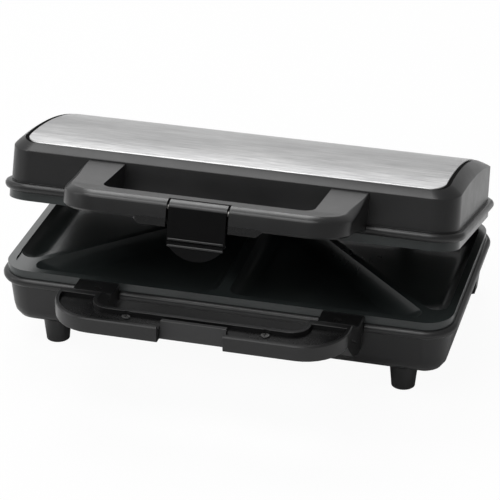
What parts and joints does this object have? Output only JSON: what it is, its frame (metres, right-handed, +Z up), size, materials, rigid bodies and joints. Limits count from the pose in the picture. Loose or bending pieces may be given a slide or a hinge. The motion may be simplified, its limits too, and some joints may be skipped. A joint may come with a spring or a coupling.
{
  "type": "sandwich toaster",
  "caption": "Hinged sandwich toaster, lid partly open: deep wells split by diagonal ridges, domed lid with brushed steel cover, loop handles and a hooked latch.",
  "frame": {"origin": "middle of the bounding box's bottom face, on the plane of the feet", "axes": "+Z up, -Y towards the handles, +X to the right seen from the front"},
  "size_m": [0.2998, 0.2454, 0.145],
  "materials": {
    "black_plastic": "satin moulded",
    "handle_plastic": "satin moulded",
    "brushed_steel": "brushed along the width",
    "nonstick_plate": "dark semi-gloss non-stick coating",
    "plated_steel": "zinc plated",
    "element_steel": "heat stained",
    "bright_sheet": "rolled sheet",
    "rubber_black": "matt",
    "ceramic_white": "matt"
  },
  "bodies": {
    "base": {"base_housing": "black_plastic", "service_cover": "black_plastic", "service_cover_screws": "plated_steel", "foot_pads": "rubber_black", "lower_reflector": "bright_sheet", "lower_element": "element_steel", "lower_plate": "nonstick_plate", "lower_plate_screws": "plated_steel", "thermostat": "ceramic_white", "thermal_fuse": "ceramic_white", "terminal_block": "ceramic_white", "internal_leads": "ceramic_white", "cord_gland": "rubber_black", "lower_handle": "handle_plastic", "lower_handle_insert": "handle_plastic", "lower_handle_screws": "plated_steel", "hinge_pins": "plated_steel"},
    "lid": {"lid_housing": "black_plastic", "steel_cover": "brushed_steel", "upper_reflector": "bright_sheet", "upper_element": "element_steel", "upper_plate": "nonstick_plate", "upper_plate_screws": "plated_steel", "upper_handle": "handle_plastic", "upper_handle_liner": "handle_plastic", "upper_handle_screws": "plated_steel", "latch_pin": "plated_steel"},
    "latch_body": {"latch": "handle_plastic", "latch_spring": "plated_steel"}
  },
  "joints": [
    {"name": "lid_hinge", "type": "hinge", "parent": "base", "child": "lid", "pos_m": [0, 0.11475, 0.0503], "axis": [-1, 0, 0], "range_deg": [-15.84, 80]},
    {"name": "latch_pivot", "type": "hinge", "parent": "lid", "child": "latch_body", "pos_m": [0, -0.09889, 0.14033], "axis": [-1, 0, 0], "range_deg": [0, 18], "stiffness_Nm_per_rad": 0.05}
  ]
}
